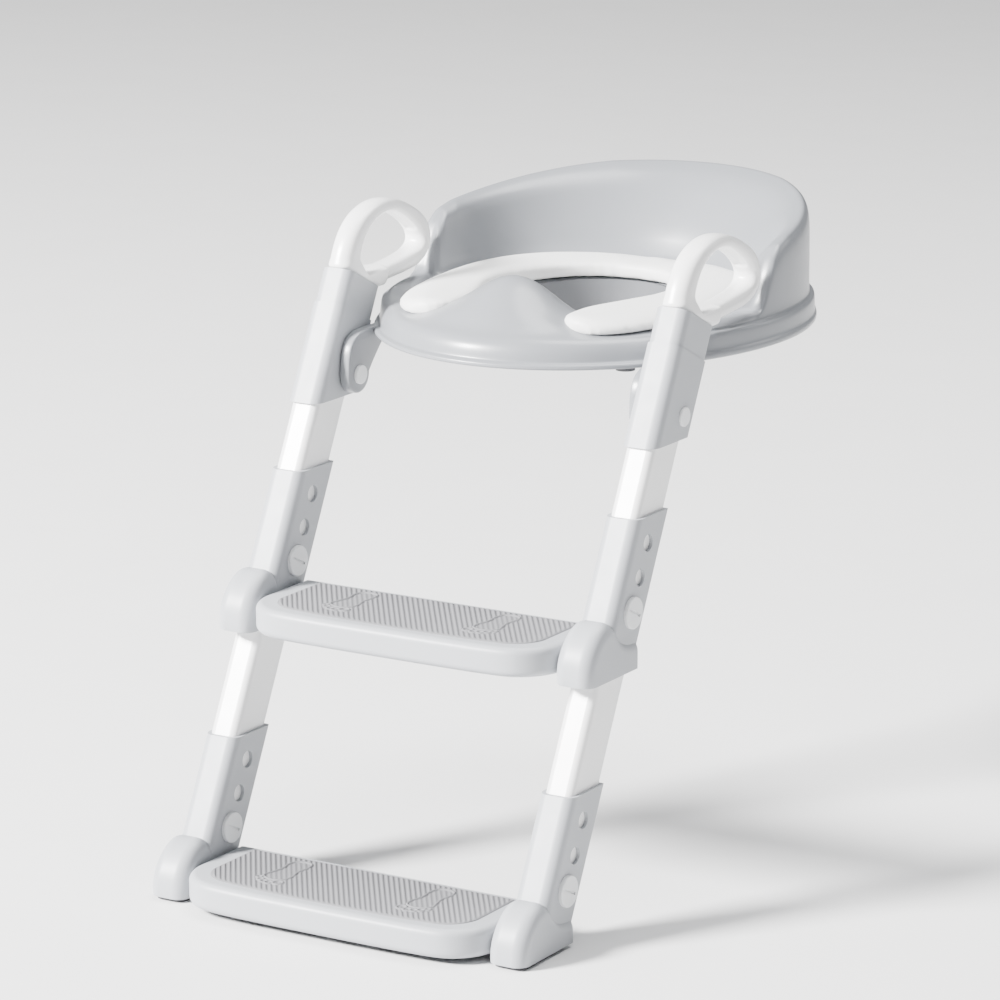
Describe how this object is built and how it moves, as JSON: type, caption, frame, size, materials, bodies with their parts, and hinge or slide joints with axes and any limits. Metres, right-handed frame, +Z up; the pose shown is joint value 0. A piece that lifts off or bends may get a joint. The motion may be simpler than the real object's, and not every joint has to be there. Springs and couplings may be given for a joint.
{
  "type": "toddler toilet seat with folding step ladder",
  "caption": "Child's cushioned toilet seat with a raised back wall and splash hump on a height-adjustable leaning step ladder with loop grips.",
  "frame": {"origin": "floor level under the middle of the object's bounding box", "axes": "+Z up, +X to the left-to-right width seen from the steps, +Y from the steps towards the toilet and the seat's back wall"},
  "size_m": [0.359, 0.6507, 0.534],
  "materials": {
    "grey_plastic": "fine satin grain",
    "inner_plastic": "satin",
    "white_plastic": "semi-gloss",
    "bolt_plastic": "semi-gloss",
    "tread_rubber": "matt, ribbed",
    "pad_rubber": "matt",
    "cushion_skin": "smooth soft skin",
    "screw_steel": "plated"
  },
  "bodies": {
    "lower_ladder": {"lower_casing_left": "grey_plastic", "lower_casing_right": "grey_plastic", "foot_pads": "pad_rubber", "bottom_step_board": "grey_plastic", "bottom_step_tread": "tread_rubber", "lower_step_screws": "screw_steel", "lower_adjusting_bolts": "bolt_plastic", "lower_adjusting_nuts": "bolt_plastic"},
    "middle_ladder": {"lower_rail_left": "white_plastic", "lower_rail_right": "white_plastic", "middle_casing_left": "grey_plastic", "middle_casing_right": "grey_plastic", "middle_step_board": "grey_plastic", "middle_step_tread": "tread_rubber", "middle_step_screws": "screw_steel", "middle_adjusting_bolts": "bolt_plastic", "middle_adjusting_nuts": "bolt_plastic"},
    "upper_ladder": {"upper_rail_left": "white_plastic", "upper_rail_right": "white_plastic", "upper_casing_left": "grey_plastic", "upper_casing_right": "grey_plastic", "handle_left": "white_plastic", "handle_right": "white_plastic", "handle_screws": "screw_steel", "hinge_pins": "bolt_plastic", "hinge_caps": "bolt_plastic"},
    "seat": {"seat_shell": "grey_plastic", "seat_cushion": "cushion_skin", "cushion_studs": "bolt_plastic", "splash_ring": "inner_plastic", "seat_grips": "pad_rubber"}
  },
  "joints": [
    {"name": "lower_slide", "type": "slide", "parent": "lower_ladder", "child": "middle_ladder", "axis": [0, 0.4431, 0.8965], "range_m": [0, 0.0576]},
    {"name": "upper_slide", "type": "slide", "parent": "middle_ladder", "child": "upper_ladder", "axis": [0, 0.4431, 0.8965], "range_m": [0, 0.0576]},
    {"name": "seat_fold", "type": "hinge", "parent": "upper_ladder", "child": "seat", "pos_m": [0, -0.04937, 0.39531], "axis": [1, 0, 0], "range_deg": [-116, 0]}
  ]
}
